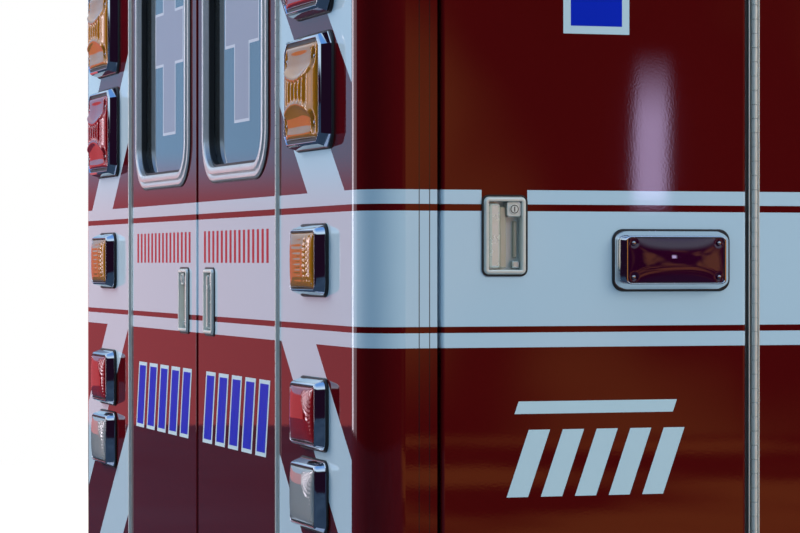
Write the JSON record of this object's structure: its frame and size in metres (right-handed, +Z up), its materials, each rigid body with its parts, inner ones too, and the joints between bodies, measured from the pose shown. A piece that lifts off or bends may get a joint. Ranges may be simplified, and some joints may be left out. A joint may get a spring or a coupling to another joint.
{
  "type": "ambulance patient module",
  "caption": "Box body of an ambulance with hinged rear, entry and locker doors, rear lamps, bumper with flip-up step, cabin fittings and bolt-down body mounts.",
  "frame": {"origin": "centre of the outer body-mount bolt pattern, at the underside of the mount pads", "axes": "+X towards the cab, +Y to the vehicle's left, +Z up"},
  "size_m": [4.138, 2.524, 2.292],
  "materials": {
    "painted_body": "glossy dark maroon with a white belt",
    "aluminium_frame": "bare or clear-coated aluminium",
    "subframe_metal": "black underbody paint",
    "arch_liner": "black moulded liner",
    "stainless": "polished stainless",
    "chrome": "bright chrome plate",
    "red_lens": "clear red lens over reflectors",
    "amber_lens": "clear amber lens over reflectors",
    "clear_lens": "clear lens over reflectors",
    "dark_lens": "smooth dark red lens",
    "glass": "tinted safety glass",
    "floor": "slip-resistant sheet flooring",
    "liner": "sheet aluminium liner",
    "cabinet": "light laminate",
    "vinyl": "stitched dark vinyl",
    "grab": "brushed tube"
  },
  "bodies": {
    "module": {"side_wall_right": "painted_body", "side_wall_left": "painted_body", "corner_posts": "painted_body", "rear_frame": "painted_body", "front_wall": "painted_body", "roof": "painted_body", "floor_deck": "floor", "cross_sills": "subframe_metal", "subframe": "subframe_metal", "wheel_arches": "arch_liner", "fender_rings": "stainless", "locker_liners_right": "liner", "locker_liners_left": "liner", "step_well": "aluminium_frame", "body_rails": "aluminium_frame", "kick_plate": "aluminium_frame", "bumper": "aluminium_frame", "fixed_hinges": "stainless", "lamp_bezels": "chrome", "red_lenses": "red_lens", "amber_lenses": "amber_lens", "clear_lenses": "clear_lens", "squad_bench": "cabinet", "bench_cushions": "vinyl", "cabinets": "cabinet", "attendant_seat": "vinyl", "grab_rail": "grab"},
    "flip_step": {"flip_step": "aluminium_frame"},
    "rear_door_right": {"rear_door_right": "painted_body", "rear_door_right_hardware": "stainless", "rear_door_right_window_frame": "aluminium_frame", "rear_door_right_glass": "glass"},
    "rear_door_left": {"rear_door_left": "painted_body", "rear_door_left_hardware": "stainless", "rear_door_left_window_frame": "aluminium_frame", "rear_door_left_glass": "glass"},
    "entry_door": {"entry_door": "painted_body", "entry_door_hardware": "stainless", "entry_door_window_frame": "aluminium_frame", "entry_door_glass": "glass"},
    "rear_locker_right": {"rear_locker_right": "painted_body", "rear_locker_right_hardware": "stainless", "rear_locker_right_lamp_bezel": "chrome", "rear_locker_right_lamp_lens": "dark_lens"},
    "rear_locker_left": {"rear_locker_left": "painted_body", "rear_locker_left_hardware": "stainless", "rear_locker_left_lamp_bezel": "chrome", "rear_locker_left_lamp_lens": "dark_lens"},
    "front_locker_right": {"front_locker_right": "painted_body", "front_locker_right_hardware": "stainless"},
    "mid_locker_left": {"mid_locker_left": "painted_body", "mid_locker_left_hardware": "stainless"},
    "front_locker_left": {"front_locker_left": "painted_body", "front_locker_left_hardware": "stainless"}
  },
  "joints": [
    {"name": "rear_locker_right_hinge", "type": "hinge", "parent": "module", "child": "rear_locker_right", "pos_m": [-1.196, -1.221, 0.72], "axis": [0, 0, 1], "range_deg": [0, 105]},
    {"name": "entry_door_hinge", "type": "hinge", "parent": "module", "child": "entry_door", "pos_m": [0.836, -1.221, 0.7675], "axis": [0, 0, 1], "range_deg": [0, 100]},
    {"name": "front_locker_right_hinge", "type": "hinge", "parent": "module", "child": "front_locker_right", "pos_m": [1.756, -1.221, 0.72], "axis": [0, 0, 1], "range_deg": [0, 105]},
    {"name": "rear_locker_left_hinge", "type": "hinge", "parent": "module", "child": "rear_locker_left", "pos_m": [-1.196, 1.221, 0.72], "axis": [0, 0, -1], "range_deg": [0, 105]},
    {"name": "mid_locker_left_hinge", "type": "hinge", "parent": "module", "child": "mid_locker_left", "pos_m": [0.646, 1.221, 0.4], "axis": [0, 0, -1], "range_deg": [0, 105]},
    {"name": "front_locker_left_hinge", "type": "hinge", "parent": "module", "child": "front_locker_left", "pos_m": [1.756, 1.221, 0.72], "axis": [0, 0, -1], "range_deg": [0, 105]},
    {"name": "rear_door_right_hinge", "type": "hinge", "parent": "module", "child": "rear_door_right", "pos_m": [-1.931, -0.655, 0.915], "axis": [0, 0, 1], "range_deg": [0, 105]},
    {"name": "rear_door_left_hinge", "type": "hinge", "parent": "module", "child": "rear_door_left", "pos_m": [-1.931, 0.655, 0.915], "axis": [0, 0, -1], "range_deg": [0, 105]},
    {"name": "flip_step_hinge", "type": "hinge", "parent": "module", "child": "flip_step", "pos_m": [-1.99, 0, -0.189], "axis": [0, 1, 0], "range_deg": [0, 85]}
  ]
}
